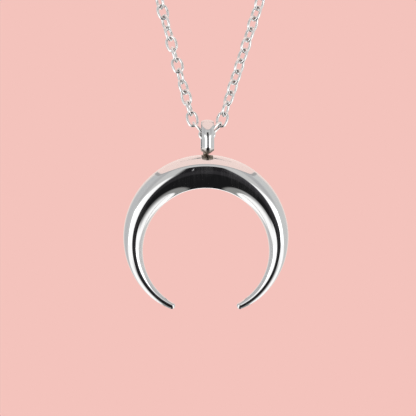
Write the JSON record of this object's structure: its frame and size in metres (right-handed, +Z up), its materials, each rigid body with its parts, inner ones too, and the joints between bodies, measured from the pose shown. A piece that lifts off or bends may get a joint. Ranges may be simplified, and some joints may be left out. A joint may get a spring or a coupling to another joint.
{
  "type": "crescent moon pendant necklace",
  "caption": "Polished crescent moon pendant, thick at its crown and tapering to two rounded tips, swinging by a stirrup-shaped bail on a fine closed cable chain with a plain clasp.",
  "frame": {"origin": "the nape of the neck, at the middle of the clasp, where the necklace hangs", "axes": "+X to the viewer's right as the pendant is seen from the front, +Y from the chest to the nape, +Z up"},
  "size_m": [0.0994, 0.0958, 0.1845],
  "materials": {
    "polished_crescent": "mirror-polished stainless steel with faint hairlines",
    "polished_bail": "mirror-polished stainless steel, darker where it meets the crescent",
    "chain_wire": "bright tumbled stainless steel wire",
    "clasp_metal": "bright tumbled stainless steel"
  },
  "bodies": {
    "necklace": {"chain": "chain_wire", "clasp": "clasp_metal"},
    "pendant": {"crescent": "polished_crescent", "bail": "polished_bail"}
  },
  "joints": [
    {"name": "pendant_swing", "type": "hinge", "parent": "necklace", "child": "pendant", "pos_m": [0, -0.092, -0.15315], "axis": [1, 0, 0], "range_deg": [-75, 75]}
  ]
}
